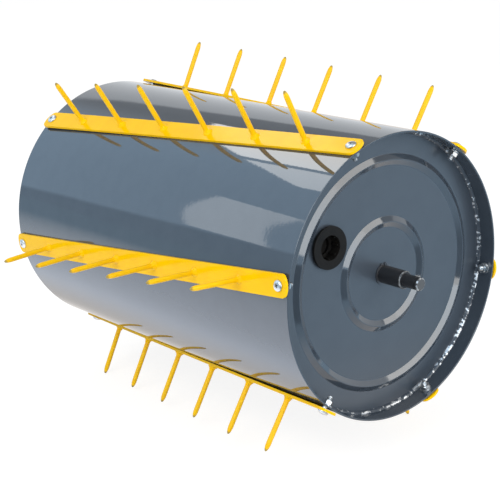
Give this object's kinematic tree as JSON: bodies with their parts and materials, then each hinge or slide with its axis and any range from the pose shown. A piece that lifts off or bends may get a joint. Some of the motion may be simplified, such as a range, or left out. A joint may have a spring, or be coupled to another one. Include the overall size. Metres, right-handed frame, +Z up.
{
  "type": "lawn aerator roller",
  "caption": "Water-filled steel roller drum turning on a through axle, with skewed strips of welded spikes screwed round it for aerating a lawn.",
  "frame": {"origin": "middle of the drum, on the axle", "axes": "+Y along the axle, away from the filler plug's end; +Z up; a strip's middle lies on +X"},
  "size_m": [0.456, 0.588, 0.4178],
  "materials": {
    "drum_paint": "gloss slate grey paint",
    "strip_paint": "gloss yellow paint",
    "bare_weld": "rough, partly painted weld",
    "axle_black": "satin black, turned",
    "spring_steel": "dark phosphated",
    "zinc_plate": "bright zinc plate",
    "bush_nylon": "moulded",
    "plug_black": "moulded, lightly grained",
    "gasket_rubber": "matt"
  },
  "bodies": {
    "axle": {"axle_shaft": "axle_black", "front_circlip": "spring_steel", "rear_circlip": "spring_steel"},
    "drum": {"drum_shell": "drum_paint", "front_end_cap": "drum_paint", "rear_end_cap": "drum_paint", "front_seam_weld": "bare_weld", "rear_seam_weld": "bare_weld", "hub_tube": "drum_paint", "hub_welds": "bare_weld", "front_bush": "bush_nylon", "rear_bush": "bush_nylon", "filler_neck": "drum_paint", "spike_strip_1": "strip_paint", "spike_strip_2": "strip_paint", "spike_strip_3": "strip_paint", "spike_strip_4": "strip_paint", "spike_strip_5": "strip_paint", "spike_strip_6": "strip_paint", "strip_1_spikes": "strip_paint", "strip_2_spikes": "strip_paint", "strip_3_spikes": "strip_paint", "strip_4_spikes": "strip_paint", "strip_5_spikes": "strip_paint", "strip_6_spikes": "strip_paint", "strip_1_welds": "strip_paint", "strip_2_welds": "strip_paint", "strip_3_welds": "strip_paint", "strip_4_welds": "strip_paint", "strip_5_welds": "strip_paint", "strip_6_welds": "strip_paint", "strip_screws": "zinc_plate", "strip_washers": "zinc_plate", "strip_nuts": "zinc_plate"},
    "plug": {"filler_plug": "plug_black", "filler_gasket": "gasket_rubber"}
  },
  "joints": [
    {"name": "drum_spin", "type": "hinge", "parent": "axle", "child": "drum", "pos_m": [0, 0, 0], "axis": [0, 1, 0], "continuous": true},
    {"name": "plug_unscrew", "type": "slide", "parent": "drum", "child": "plug", "axis": [0, -1, 0], "range_m": [0, 0.04]}
  ]
}
